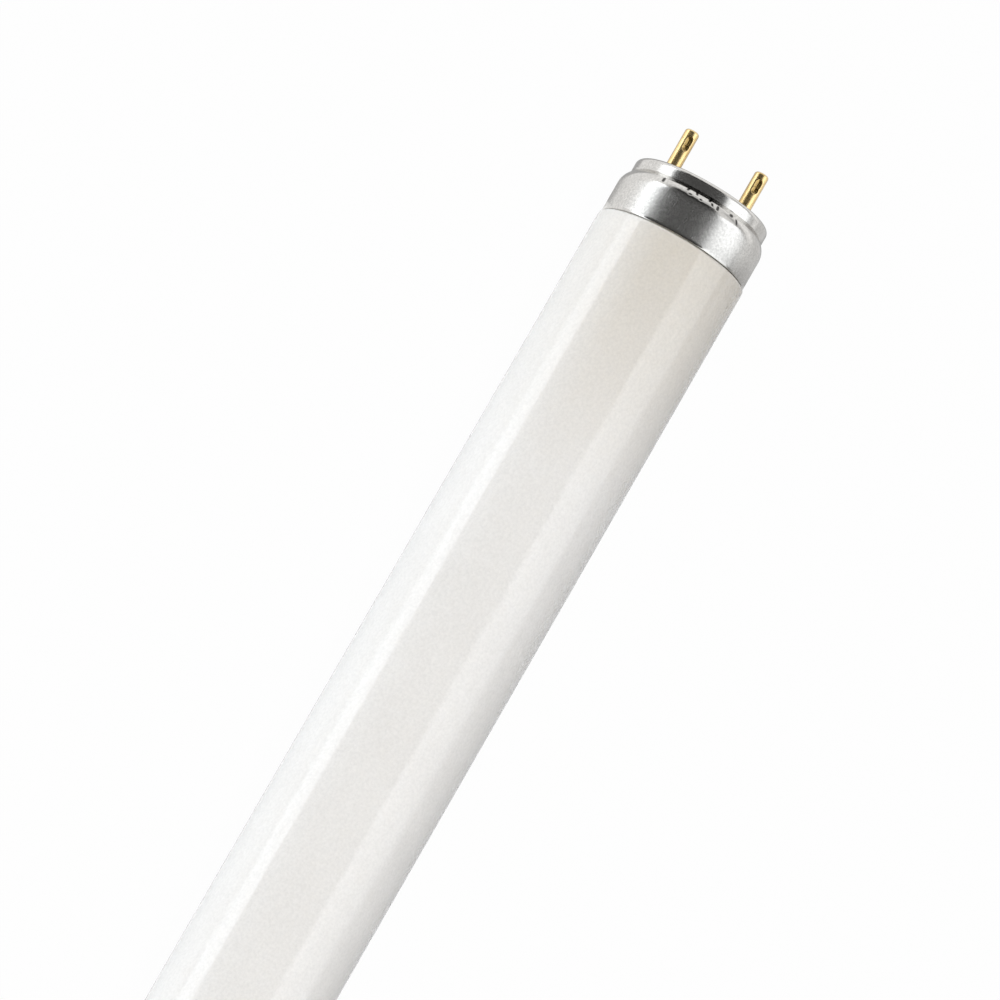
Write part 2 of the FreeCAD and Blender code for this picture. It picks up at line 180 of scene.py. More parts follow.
class PinSettings(bpy.types.PropertyGroup):
    """Sizes and finish of the contact pins."""

    shank: length("Shank", "Radius of the part inside the plate", 0.001)
    bore: length("Bore", "Radius of the hollow inside", 0.0008)
    tip_wall: length("Tip wall", "Thickness of the closed tip", 0.0008)
    tip_round: length("Tip rounding", "Radius of the rounded tip edge", 0.00045)
    collar: length("Collar", "Radius of the collar on the face", 0.0016)
    collar_height: length("Collar height", "Thickness of the collar", 0.0003)
    collar_round: length("Collar rounding", "Radius of the collar's edge", 0.0001)
    rivet: length("Rivet head", "Radius of the riveted end behind the plate", 0.002)
    crimp_reach: length("Crimp reach", "Distance of the crimp from the face", 0.0054)
    crimp_length: length("Crimp length", "Straight part of the punch that made the crimp", 0.0012)
    crimp_radius: length("Crimp radius", "Radius of the punch that made the crimp", 0.00075)
    crimp_depth: length("Crimp depth", "Depth of the crimp", 0.00043)
    crimp_edge: length("Crimp edge", "Softness of the edge of the crimp", 0.00011)
    crimp_ridge: length("Crimp ridge", "From the middle of the crimp to the end of its low ridge", 0.00015)
    brass: colour("Brass", "Bright brass", (0.91, 0.70, 0.34))
    dull_brass: colour("Dull brass", "Brass where it has dulled", (0.74, 0.48, 0.16))
    # Painted shade: the brass in the crimps is drawn dark brown; the cover says how far it hides the brass
    tarnish: colour("Tarnish", "Brass in the crimps", (0.36, 0.23, 0.04))
    dent_shade_cover: share("Tarnish cover", "How far the tarnish hides the brass in the crimps", 0.9)
    least_roughness: share("Least roughness", "Roughness of the smoothest lines in the brass", 0.3)
    most_roughness: share("Most roughness", "Roughness of the roughest lines in the brass", 0.39)
    lacquer: share("Lacquer", "Share of the brass under clear lacquer", 0.8)
    lacquer_roughness: share("Lacquer roughness", "Roughness of the lacquer", 0.2)
    lacquer_refraction: number("Lacquer refraction", "Refractive index of the lacquer", 1.6)


class InnerSettings(bpy.types.PropertyGroup):
    """Finish of the plates, the cement and the wires."""

    resin: colour("Resin", "Moulded plate", (0.10, 0.045, 0.022))
    filler: colour("Filler", "Specks of filler in the plate", (0.20, 0.11, 0.06))
    cement: colour("Cement", "Cured basing cement", (0.36, 0.29, 0.19))
    grit: colour("Grit", "Stone flour in the cement", (0.52, 0.46, 0.36))
    wire: colour("Wire", "Drawn lead wire", (0.55, 0.52, 0.48))


class StageSettings(bpy.types.PropertyGroup):
    """Camera, floor and lights. The cloths start and stop along the tube."""

    lens: number("Lens", "Focal length in millimetres", 1000.0, unit="CAMERA")
    frame_width: length("Frame width", "Width of the picture at the tube", 0.15385)
    tilt: angle("Tilt", "How far the near pins lean away from the camera", 11.6)
    lean: angle("Lean", "How far the camera stands round towards the rear pins", 8.0)
    roll: angle("Roll", "Slope of the tube in the picture", 60.07)
    aim_back: length("Aim back", "From the cap's lip to the middle of the picture, along the tube", 0.0474)
    aim_side: length("Aim side", "From the axis to the middle of the picture, across the tube", 0.00377)
    key_brightness: number("Key strip", "Brightness of the strip light on the rear side", 1.7)
    key_turn: angle("Key turn", "Where the key strip stands round the tube, from the camera's side", -76.0)
    key_reach: angle("Key reach", "Half the angle that the key strip covers", 15.0)
    fill_brightness: number("Fill strip", "Brightness of the strip light on the front side", 0.87)
    fill_turn: angle("Fill turn", "Where the fill strip stands round the tube, from the camera's side", 61.0)
    fill_reach: angle("Fill reach", "Half the angle that the fill strip covers", 24.0)
    strip_length: length("Strip length", "Length of both strip lights", 2.4)
    strip_place: length("Strip place", "Where along the tube the strip lights have their middle", -0.3)
    top_brightness: number("Overhead", "Brightness of the overhead light", 4.6)
    top_turn: angle("Overhead turn", "Where the overhead light stands, from the camera's side", 8.0)
    board_brightness: number("Board", "Brightness of the board beside the tube", 2.2)
    lamp: colour("Lamp colour", "Colour of the overhead light", (0.97, 0.985, 1.0))
    side_lamp: colour("Side lamp colour", "Colour of the strip lights and the board", (0.88, 0.94, 1.0))
    dark_brightness: number("Dark cloth", "Brightness of the dark cloth", 0.09)
    dark_start: length("Dark cloth start", "Where the dark cloth starts", 0.33)
    dark_stop: length("Dark cloth stop", "Where the dark cloth stops", 1.15)
    black_start: length("Black cloth start", "Where the first black cloth starts", -6.0)
    black_stop: length("Black cloth stop", "Where the second black cloth stops", 1.8)
    black_brightness: number("Black cloth", "Brightness of the black cloths", 0.03)
    pale_brightness: number("Pale cloth", "Brightness of the cloth beyond the pins", 0.72)
    pale_stop: length("Pale cloth stop", "Where the pale cloth stops", 2.8)
    white_brightness: number("White cloth", "Brightness of the last cloth beyond the pins", 1.1)
    white_stop: length("White cloth stop", "Where the white cloth stops", 14.0)
    grey_brightness: number("Grey cloth", "Brightness of the grey cloth on the front side", 0.6)
    grey_height: length("Grey cloth height", "How far the grey cloth reaches above the tube's axis", 0.6)
    rear_sheet: number("Rear sheet", "Brightness of the sheet on the floor behind the tube", 1.05)
    # Painted shadow: the front sheet and the under sheet are darker floor in reflections, where the tube's
    # shadow falls
    front_shadow_sheet: number("Front sheet", "Brightness of the sheet on the floor before the tube", 0.75)
    under_shadow_sheet: number("Under sheet", "Brightness of the floor close under the near cap", 0.5)
    end_sheet: number("End sheet", "Brightness of the sheet on the floor beyond the pins", 1.15)
    floor_shade: share("Floor", "Shade of the floor under the lamps", 0.5)
    floor_white: share("Floor white", "How white the camera sees the floor", 0.98)
    floor_mirror: share("Floor in reflections", "How much of the white floor shows in reflections", 0.5)
    ambient: number("Ambient", "Brightness of the room", 0.2)


def read(name):
    """One of the property groups of the scene."""
    return getattr(bpy.context.scene, name)


def need(name):
    """Stops an operator where the packed model lacks a piece."""
    if name not in frame["nodes"]:
        raise RuntimeError("the packed model has no piece named " + name)


# Mesh code


def arc(centre, radius, first, last, steps):
    """Points (x, radius) on an arc of the outline, with both ends. Angles run from the axis direction."""
    turns = [first + (last - first) * step / steps for step in range(steps + 1)]
    return [(centre[0] + radius * math.cos(turn), centre[1] + radius * math.sin(turn)) for turn in turns]


def spread(first, last, steps):
    """Points between two outline points, without the ends."""
    shares = [step / steps for step in range(1, steps)]
    return [(first[0] + (last[0] - first[0]) * s, first[1] + (last[1] - first[1]) * s) for s in shares]


def turned(name, outline, segments, closed=False, dent=None):
    """A mesh turned about the X axis. dent may tell how deep each place is pressed in."""
    bm = bmesh.new()
    depths = bm.verts.layers.float.new("dent")
    rings = []
    for index, (x, radius) in enumerate(outline):
        if radius < LEAST_RADIUS:
            rings.append([bm.verts.new((x, 0, 0))])
            continue
        ring = []
        for segment in range(segments):
            turn = 2 * math.pi * segment / segments
            depth = 0 if dent is None else dent(index, x, radius, turn)
            r = radius - depth
            vert = bm.verts.new((x, -r * math.sin(turn), r * math.cos(turn)))
            vert[depths] = depth
            ring.append(vert)
        rings.append(ring)
    pairs = list(zip(rings, rings[1:]))
    if closed:
        pairs.append((rings[-1], rings[0]))
    for first, second in pairs:
        if len(first) == len(second) == 1:
            continue
        for segment in range(segments):
            following = (segment + 1) % segments
            corners = [
                first[segment % len(first)],
                first[following % len(first)],
                second[following % len(second)],
                second[segment % len(second)],
            ]
            bm.faces.new(list(dict.fromkeys(corners)))
    bmesh.ops.recalc_face_normals(bm, faces=bm.faces)
    for edge in bm.edges:
        edge.smooth = edge.calc_face_angle(0) < SHARP_TURN
    for face in bm.faces:
        face.smooth = True
    mesh = bpy.data.meshes.new(name)
    bm.to_mesh(mesh)
    bm.free()
    return mesh


def linked(name, data):
    """A new object in the scene."""
    made = bpy.data.objects.new(name, data)
    bpy.context.scene.collection.objects.link(made)
    return made


def placed(name, mesh, matrix, material, node_name):
    """Makes an object of the mesh, which stands for a CAD piece."""
    need(node_name)
    mesh.transform(matrix)
    mesh.materials.append(material)
    piece = linked(name, mesh)
    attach(piece, "root")
    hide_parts(node_name)


def dress(node_name, material):
    """Gives a CAD piece its finish."""
    need(node_name)
    frame["nodes"][node_name].material_slots[0].material = material


def end_matrix(turn):
    """From an end's own frame, with its face at 0 and its pins along +X, to the tube's frame."""
    return Matrix.Rotation(turn, 4, "Z") @ Matrix.Translation((FACE, 0, 0))


def groove_place(settings):
    """Where the cap's groove lies in an end's own frame."""
    return PLATE_BACK - settings.wall - settings.clearance


# Material code


def fill(tree, made, inputs):
    """Sets or links inputs of a node."""
    for name, value in inputs.items():
        if isinstance(value, bpy.types.NodeSocket):
            tree.links.new(value, made.inputs[name])
        else:
            made.inputs[name].default_value = value


def node(tree, kind, inputs=None, **settings):
    """A shader node with its settings, values and links."""
    made = tree.nodes.new(kind)
    for name, value in settings.items():
        setattr(made, name, value)
    fill(tree, made, inputs or {})
    return made


def rgba(values):
    """An opaque colour."""
    return (*values, 1.0)


def maths(tree, operation, *values):
    """The result of one operation on numbers or sockets."""
    return node(tree, "ShaderNodeMath", dict(enumerate(values)), operation=operation).outputs[0]


def ranged(tree, value, source, target=(0.0, 1.0)):
    """A value carried from one range to another, and held at its ends."""
    inputs = {"Value": value, "From Min": source[0], "From Max": source[1]}
    inputs.update({"To Min": target[0], "To Max": target[1]})
    return node(tree, "ShaderNodeMapRange", inputs).outputs["Result"]


def surface_place(tree):
    """Place on the surface, in the tube's frame."""
    return node(tree, "ShaderNodeTexCoord").outputs["Object"]


def place_parts(tree):
    """X, Y and Z of the place on the surface."""
    return node(tree, "ShaderNodeSeparateXYZ", {"Vector": surface_place(tree)}).outputs


def mixed(tree, first, second, factor):
    """A colour between two colours."""
    inputs = {MIX_FACTOR: factor, MIX_FIRST: first, MIX_SECOND: second}
    return node(tree, "ShaderNodeMix", inputs, data_type="RGBA", clamp_factor=True).outputs[MIX_RESULT]


def shaded(tree, base, shade):
    """A colour made lighter or darker by a value near 1."""
    return node(tree, "ShaderNodeVectorMath", {0: base, 1: shade}, operation="MULTIPLY").outputs[0]


def bumped(tree, height, strength, distance):
    """A normal that follows a height."""
    inputs = {"Height": height, "Strength": strength, "Distance": distance}
    return node(tree, "ShaderNodeBump", inputs).outputs["Normal"]


def new_material(name):
    """An empty node material and its Principled shader."""
    material = bpy.data.materials.new(name)
    material.use_nodes = True
    tree = material.node_tree
    shader = tree.nodes["Principled BSDF"]
    return material, tree, shader


def new_group(name, inputs, outputs):
    """A shader node group with named sockets. Returns its tree, its input node and its output node."""
    tree = bpy.data.node_groups.new(name, "ShaderNodeTree")
    for in_out, sockets in (("INPUT", inputs), ("OUTPUT", outputs)):
        for socket in sockets:
            tree.interface.new_socket(socket, in_out=in_out, socket_type="NodeSocketFloat")
    return tree, tree.nodes.new("NodeGroupInput"), tree.nodes.new("NodeGroupOutput")


def speckle(tree, given, result, place, detail, roughness):
    """Ends a group in noise: its height, and its shade between the group's Low and High."""
    inputs = {"Vector": place, "Scale": given.outputs["Scale"], "Detail": detail, "Roughness": roughness}
    height = node(tree, "ShaderNodeTexNoise", inputs).outputs["Fac"]
    shade = ranged(tree, height, NOISE_RANGE, (given.outputs["Low"], given.outputs["High"]))
    fill(tree, result, {"Shade": shade, "Height": height})


def grain_group(name):
    """Fine even mottling, the same in all directions."""
    tree, given, result = new_group(name, ("Scale", "Low", "High"), ("Shade", "Height"))
    speckle(tree, given, result, surface_place(tree), detail=3.0, roughness=0.6)
    return tree


def streak_group(name):
    """Fine lines along the tube, as drawing or polishing leaves them."""
    tree, given, result = new_group(name, ("Scale", "Stretch", "Low", "High"), ("Shade", "Height"))
    parts = place_parts(tree)
    along = maths(tree, "MULTIPLY", parts["X"], given.outputs["Stretch"])
    stretched = node(tree, "ShaderNodeCombineXYZ", {"X": along, "Y": parts["Y"], "Z": parts["Z"]})
    speckle(tree, given, result, stretched.outputs["Vector"], detail=2.0, roughness=0.55)
    return tree


def side_shading_group(name):
    """A stain that fades along the tube and round to one side of it."""
    inputs = ("Start", "Stop", "Side start", "Side stop", "First", "Last")
    tree, given, result = new_group(name, inputs, ("Mask",))
    start, stop, side_start, side_stop, first, last = [given.outputs[socket] for socket in inputs]
    parts = place_parts(tree)
    along = ranged(tree, maths(tree, "ABSOLUTE", parts["X"]), (start, stop))
    across = ranged(tree, parts["Y"], (side_start, side_stop), (first, last))
    fill(tree, result, {"Mask": maths(tree, "MULTIPLY", along, across)})
    return tree


def dent_group(name):
    """What gathers where the surface is pressed in."""
    tree, given, result = new_group(name, ("Deep", "Most"), ("Mask",))
    dent = node(tree, "ShaderNodeAttribute", attribute_name="dent").outputs["Fac"]
    mask = ranged(tree, dent, (0.0, given.outputs["Deep"]), (0.0, given.outputs["Most"]))
    fill(tree, result, {"Mask": mask})
    return tree


def effect(tree, name, build, inputs):
    """Places a node group, which is built when it is first needed. Returns its outputs."""
    group = bpy.data.node_groups.get(name) or build(name)
    return node(tree, "ShaderNodeGroup", inputs, node_tree=group).outputs


def grain(tree, scale, low, high):
    """Mottling, with its shade between two values."""
    return effect(tree, "Fine grain", grain_group, {"Scale": scale, "Low": low, "High": high})


def streaks(tree, scale, stretch, low, high):
    """Lines along the tube, with their shade between two values."""
    inputs = {"Scale": scale, "Stretch": stretch, "Low": low, "High": high}
    return effect(tree, "Drawn lines", streak_group, inputs)


def side_shading(tree, along, across, strength):
    """Mask of a stain, from one place to another along the tube and across it, with its strengths across."""
    inputs = {"Start": along[0], "Stop": along[1], "Side start": across[0], "Side stop": across[1]}
    inputs.update({"First": strength[0], "Last": strength[1]})
    return effect(tree, "Side stain", side_shading_group, inputs)["Mask"]


def tarnish(tree, depth, most):
    """Mask of what gathers in dents of a depth, up to a strength."""
    inputs = {"Deep": FULL_DENT_SHADE * depth, "Most": most}
    return effect(tree, "Dent tarnish", dent_group, inputs)["Mask"]


def glass_material(settings):
    """White powder coat behind clear gloss glass, greyer beside the caps."""
    material, tree, shader = new_material("opal_glass_coated")
    along = (LIP - settings.fade, LIP)
    across = (settings.rear_start * TUBE_RADIUS, settings.rear_stop * TUBE_RADIUS)
    # Painted light: the grey beside the caps is drawn weaker on the rear side
    grey = side_shading(tree, along, across, (1.0, settings.rear_lit_share))
    cloud = grain(tree, scale=90.0, low=0.988, high=1.012)
    powder = grain(tree, scale=2200.0, low=0.95, high=1.05)
    base = mixed(tree, rgba(settings.powder), rgba(settings.end_grey), grey)
    base = shaded(tree, base, cloud["Shade"])
    base = shaded(tree, base, powder["Shade"])
    inputs = {
        "Base Color": base,
        "Roughness": settings.gloss,
        "IOR": settings.refraction,
        "Subsurface Weight": 1.0,
        "Subsurface Radius": (1.0, 1.0, 1.0),
        "Subsurface Scale": settings.milkiness,
    }
    fill(tree, shader, inputs)
    return material


def cap_material(settings):
    """Bare drawn sheet, polished at the lip, shoulder and boss, and dirty in the roller's marks."""
    material, tree, shader = new_material("drawn_aluminium")
    lines = streaks(tree, scale=9000.0, stretch=0.05, low=0.9, high=1.1)
    mottle = grain(tree, scale=2600.0, low=0.84, high=1.12)
    # Painted shade on the front side beside the lip, mixed towards black
    along = (LIP + settings.front_shade_length, LIP)
    across = (-settings.front_shade_start * CAP_RADIUS, -settings.front_shade_stop * CAP_RADIUS)
    front_shade_mask = side_shading(tree, along, across, (0.0, settings.front_shading))
    # Painted shade in the roller's marks, by the depth of each dent
    mark_shade_mask = tarnish(tree, settings.mark_depth, settings.mark_shade_cover)
    base = shaded(tree, tuple(settings.metal), mottle["Shade"])
    base = mixed(tree, base, BLACK, front_shade_mask)
    base = mixed(tree, base, rgba(settings.mark_shade), mark_shade_mask)
    distance = maths(tree, "ABSOLUTE", place_parts(tree)["X"])
    skirt_end = FACE + groove_place(settings) - settings.shoulder
    shoulder = (skirt_end, skirt_end + settings.burnish_start * settings.shoulder)
    rolled = ranged(tree, distance, shoulder, (settings.roughness, settings.burnish))
    lip = (LIP + settings.lip_round, LIP + 2 * settings.lip_round)
    pressed = ranged(tree, distance, lip, (settings.lip_polish, settings.roughness))
    polish = maths(tree, "MINIMUM", rolled, pressed)
    inputs = {
        "Base Color": base,
        "Metallic": 1.0,
        "Roughness": maths(tree, "MULTIPLY", polish, lines["Shade"]),
        "Anisotropic": settings.anisotropy,
        "Tangent": node(tree, "ShaderNodeTangent", direction_type="RADIAL", axis="X").outputs[0],
        "Normal": bumped(tree, mottle["Height"], strength=0.16, distance=0.00002),
    }
    fill(tree, shader, inputs)
    return material


def pin_material(settings):
    """Lacquered brass, a little dull in patches and tarnished in the crimps."""
    material, tree, shader = new_material("polished_brass")
    patches = grain(tree, scale=900.0, low=0.0, high=0.7)
    rough = {"low": settings.least_roughness, "high": settings.most_roughness}
    lines = streaks(tree, scale=9000.0, stretch=0.08, **rough)
    # Painted shade in the crimps, by the depth of each dent
    dark = tarnish(tree, settings.crimp_depth, settings.dent_shade_cover)
    base = mixed(tree, rgba(settings.brass), rgba(settings.dull_brass), patches["Shade"])
    base = mixed(tree, base, rgba(settings.tarnish), dark)
    inputs = {
        "Base Color": base,
        "Metallic": 1.0,
        "Roughness": lines["Shade"],
        "Coat Weight": settings.lacquer,
        "Coat Roughness": settings.lacquer_roughness,
        "Coat IOR": settings.lacquer_refraction,
        "Normal": bumped(tree, lines["Height"], strength=0.08, distance=0.00002),
    }
    fill(tree, shader, inputs)
    return material


def plate_material(settings):
    """Moulded phenolic resin with specks of filler."""
    material, tree, shader = new_material("moulded_phenolic")
    specks = grain(tree, scale=2600.0, low=0.0, high=1.0)
    clouds = grain(tree, scale=350.0, low=0.85, high=1.15)
    gloss = grain(tree, scale=1200.0, low=0.42, high=0.6)
    base = mixed(tree, rgba(settings.resin), rgba(settings.filler), specks["Shade"])
    inputs = {
        "Base Color": shaded(tree, base, clouds["Shade"]),
        "Roughness": gloss["Shade"],
        "Normal": bumped(tree, specks["Height"], strength=0.25, distance=0.00005),
    }
    fill(tree, shader, inputs)
    return material


def cement_material(settings):
    """Baked resin cement full of stone flour."""
    material, tree, shader = new_material("baked_cement")
    specks = grain(tree, scale=3200.0, low=0.0, high=1.0)
    inputs = {
        "Base Color": mixed(tree, rgba(settings.cement), rgba(settings.grit), specks["Shade"]),
        "Roughness": 0.9,
        "Normal": bumped(tree, specks["Height"], strength=0.5, distance=0.0001),
    }
    fill(tree, shader, inputs)
    return material


def wire_material(settings):
    """Drawn metal wire."""
    material, tree, shader = new_material("drawn_wire")
    lines = streaks(tree, scale=12000.0, stretch=0.05, low=0.25, high=0.4)
    mottle = grain(tree, scale=2500.0, low=0.9, high=1.05)
    base = shaded(tree, tuple(settings.wire), mottle["Shade"])
    fill(tree, shader, {"Base Color": base, "Metallic": 1.0, "Roughness": lines["Shade"]})
    return material


class TUBE_OT_glass(bpy.types.Operator):
    """Turn the glass tube, with its necks, rounded ends and hollow stems"""

    bl_idname = "tube.glass"
    bl_label = "Glass tube"

    segments = 256
    # Rings on the straight glass: equal steps from the middle, then distances from the edge's rounding
    straight_steps = 12
    edge_rings = (0.01, 0.003, 0.001)
    # Distance of a ring on the neck from the cap's lip
    neck_ring = 0.0005

    def execute(self, context):
        settings = read("tube_glass")
        half = self.half_outline(settings)
        other = [(-x, radius) for x, radius in reversed(half[1:])]
        mesh = turned("opal_glass", other + half, self.segments)
        material = glass_material(settings)
        placed("opal_glass", mesh, Matrix.Identity(4), material, "glass_tube")
        return {"FINISHED"}

    def half_outline(self, settings):
        """Outline from the middle of the tube over its end to the exhaust tip in the stem."""
        neck = TUBE_RADIUS - settings.neck_step
        edge = LIP - settings.edge_gap
        edge_centre = (edge - settings.edge_round, TUBE_RADIUS - settings.edge_round)
        rim_centre = (GLASS_END - settings.rim, neck - settings.rim)
        throat_place = rim_centre[0] - settings.flare
        drop = rim_centre[1] - settings.rim - settings.throat
        flare_radius = (settings.flare ** 2 + drop ** 2) / (2 * drop)
        flare_turn = math.asin(settings.flare / flare_radius)
        flare_centre = (throat_place, settings.throat + flare_radius)
        stem_floor = GLASS_END - settings.stem_depth
        exhaust_end = GLASS_END - settings.exhaust_setback - settings.exhaust
        shoulder = edge_centre[0]
        steps = self.straight_steps
        half = [(shoulder * step / steps, TUBE_RADIUS) for step in range(steps)]
        half += [(shoulder - back, TUBE_RADIUS) for back in self.edge_rings]
        half += arc(edge_centre, settings.edge_round, QUARTER, 0, steps=12)
        half += [(edge, neck), (LIP + self.neck_ring, neck)]
        half += arc(rim_centre, settings.rim, QUARTER, -QUARTER, steps=16)
        half += arc(flare_centre, flare_radius, flare_turn - QUARTER, -QUARTER, steps=10)[1:]
        half += [(stem_floor, settings.throat), (stem_floor, settings.exhaust)]
        half += arc((exhaust_end, 0), settings.exhaust, QUARTER, 0, steps=8)[:-1]
        half += [(exhaust_end + settings.exhaust, 0)]
        return half


class TUBE_OT_caps(bpy.types.Operator):
    """Turn the two drawn caps and press the roller's marks into their shoulders"""

    bl_idname = "tube.caps"
    bl_label = "Metal caps"

    segments = 720
    # Marks that the roller left on each of its turns: degrees round the shoulder, millimetres from the
    # groove, half the length in millimetres, half the width in degrees and the share of the full depth
    marks = (
        (-41.0, -0.75, 0.38, 0.85, 1.0),
        (-20.3, -0.4, 0.26, 0.7, 1.0),
        (-17.0, -1.1, 0.1, 1.0, 0.5),
        (-12.7, -0.4, 0.26, 0.7, 1.0),
        (-8.2, -1.1, 0.12, 0.8, 0.5),
        (-1.5, -0.3, 0.26, 0.8, 1.0),
        (1.0, -0.8, 0.22, 0.7, 1.0),
        (6.0, -0.8, 0.36, 0.8, 1.0),
        (18.5, -0.5, 0.22, 1.3, 1.0),
        (24.2, -0.95, 0.36, 0.7, 1.0),
    )
    # Degrees by which two marks of three slant, one each way, for each millimetre of their length
    slant = 1.6
    roller_turns = 3

    def execute(self, context):
        settings = read("tube_cap")
        material = cap_material(settings)
        shell = self.shell("cap_metal", settings)
        for end_name, turn in ENDS:
            name = "cap_metal_" + end_name
            placed(name, shell.copy(), end_matrix(turn), material, "cap_shell_" + end_name)
        return {"FINISHED"}

    def shell(self, name, settings):
        """One cap in its end's own frame, from the lip to the opening and back along the inside."""
        wall = settings.wall
        boss = CAP_RADIUS - settings.boss_drop
        groove_radius = boss - settings.groove
        opening = boss - settings.rim_width
        lip = LIP - FACE
        groove = groove_place(settings)
        skirt_end = groove - settings.shoulder
        drop = settings.boss_drop + settings.groove
        radius = (settings.shoulder ** 2 + drop ** 2) / (2 * drop)
        centre = (skirt_end, CAP_RADIUS - radius)
        low = math.asin((groove_radius - centre[1]) / radius)
        lip_centre = (lip + settings.lip_round, CAP_RADIUS - settings.lip_round)
        rim_centre = (-settings.rim_round, boss - settings.rim_round)
        inner_round = settings.rim_round - wall
        bead_end = groove + math.sqrt(2 * wall * settings.groove - settings.groove ** 2)
        bead_start = groove - wall * settings.shoulder / radius
        bead_start_radius = groove_radius - wall * (radius - drop) / radius
        first = math.atan2(boss - wall - groove_radius, bead_end - groove)
        last = math.atan2(bead_start_radius - groove_radius, bead_start - groove)
        outside = arc(lip_centre, settings.lip_round, math.pi, QUARTER, steps=8)
        outside += spread(outside[-1], (skirt_end, CAP_RADIUS), steps=8)
        outside += arc(centre, radius, QUARTER, low, steps=36)
        outside += [(groove + settings.groove, boss)]
        outside += spread(outside[-1], (rim_centre[0], boss), steps=3)
        outside += arc(rim_centre, settings.rim_round, QUARTER, 0, steps=14)
        outside += [(0, opening)]
        inside = [(-wall, opening)]
        inside += arc(rim_centre, inner_round, 0, QUARTER, steps=6)
        inside += arc((groove, groove_radius), wall, first, last, steps=6)
        inside += arc(centre, radius - wall, low, QUARTER, steps=12)
        inside += [(lip, CAP_RADIUS - wall)]
        count = len(outside)

        def pressed(index, x, at_radius, turn):
            if index >= count or not skirt_end < x < groove + settings.groove / 2:
                return 0
            return settings.mark_depth * self.mark(turn, (x - groove) * MM_PER_METRE)

        return turned(name, outside + inside, self.segments, closed=True, dent=pressed)

    def mark(self, turn, x):
        """Share of the mark depth at a place round the shoulder, x millimetres from the groove."""
        degrees = math.degrees(turn)
        depth = 0
        for lap in range(self.roller_turns):
            for index, (place, middle, reach, width, most) in enumerate(self.marks):
                skew = (index % 3 - 1) * self.slant * (x - middle)
                off = (degrees - place - skew - lap * 360 / self.roller_turns + 180) % 360 - 180
                depth = max(depth, most * math.exp(-(off / width) ** 2 - ((x - middle) / reach) ** 4))
        return depth


class TUBE_OT_plates(bpy.types.Operator):
    """Give the insulating plates their moulded resin"""

    bl_idname = "tube.plates"
    bl_label = "Insulating plates"

    def execute(self, context):
        material = plate_material(read("tube_inner"))
        for end_name, _ in ENDS:
            dress("insulating_plate_" + end_name, material)
        return {"FINISHED"}


class TUBE_OT_pins(bpy.types.Operator):
    """Turn the four brass contact pins and press their crimps"""

    bl_idname = "tube.pins"
    bl_label = "Contact pins"

    segments = 120
    crimp_steps = 54

    def execute(self, context):
        settings = read("tube_pin")
        material = pin_material(settings)
        pin = self.pin("pin_brass", settings)
        for end_name, turn in ENDS:
            for side_name, side in SIDES:
                node_name = f"contact_pin_{end_name}_{side_name}"
                name = f"pin_brass_{end_name}_{side_name}"
                across = side * PIN_OFFSET * math.cos(turn)
                matrix = end_matrix(turn) @ Matrix.Translation((0, across, 0))
                placed(name, pin.copy(), matrix, material, node_name)
        return {"FINISHED"}

    def pin(self, name, settings):
        """One pin on the axis of its end's own frame, from the rivet to the tip and back in the bore."""
        tip = PIN_REACH - settings.tip_round
        low = settings.crimp_reach - settings.crimp_length / 2
        high = settings.crimp_reach + settings.crimp_length / 2
        ridge = settings.crimp_reach + settings.crimp_ridge
        start = low - settings.crimp_radius
        stop = high + settings.crimp_radius
        foot = (settings.collar_height, PIN_RADIUS)
        collar_round = settings.collar_round
        collar_centre = (settings.collar_height - collar_round, settings.collar - collar_round)
        outline = [(PIN_TAIL, settings.bore), (PIN_TAIL, settings.rivet), (PLATE_BACK, settings.rivet)]
        outline += [(PLATE_BACK, settings.shank), (0, settings.shank), (0, settings.collar)]
        outline += arc(collar_centre, collar_round, QUARTER, 0, steps=4)
        outline += [foot]
        outline += spread(foot, (start, PIN_RADIUS), steps=6)
        outline += [(start, PIN_RADIUS)]
        outline += spread((start, PIN_RADIUS), (stop, PIN_RADIUS), self.crimp_steps)
        outline += [(stop, PIN_RADIUS)]
        outline += spread((stop, PIN_RADIUS), (tip, PIN_RADIUS), steps=4)
        outline += arc((tip, PIN_RADIUS - settings.tip_round), settings.tip_round, QUARTER, 0, steps=8)
        outline += [(PIN_REACH, 0)]
        inside_end = PIN_REACH - settings.tip_wall
        bore = [(inside_end, 0), (inside_end, settings.bore)]
        bore += spread((stop, settings.bore), (start, settings.bore), self.crimp_steps)
        punch = PIN_RADIUS - settings.crimp_depth + settings.crimp_radius

        def crimped(index, x, radius, turn):
            if not start <= x <= stop:
                return 0
            die = settings.crimp_radius + PIN_RADIUS - radius
            along = min(abs(x - low), max(0, ridge - x, x - high))
            up = punch - radius * abs(math.cos(turn))
            depth = die - math.hypot(along, radius * math.sin(turn), up)
            if depth > settings.crimp_edge:
                return depth
            return max(0, depth + settings.crimp_edge) ** 2 / (4 * settings.crimp_edge)

        return turned(name, outline + bore, self.segments, closed=True, dent=crimped)


class TUBE_OT_hidden(bpy.types.Operator):
    """Give the cement rings and the lead wires their finish"""

    bl_idname = "tube.hidden"
    bl_label = "Cement and wires"

    def execute(self, context):
        settings = read("tube_inner")
        cement = cement_material(settings)
        wire = wire_material(settings)
        for end_name, _ in ENDS:
            dress("basing_cement_" + end_name, cement)
            for side_name, _ in SIDES:
                dress(f"lead_wire_{end_name}_{side_name}", wire)
        return {"FINISHED"}


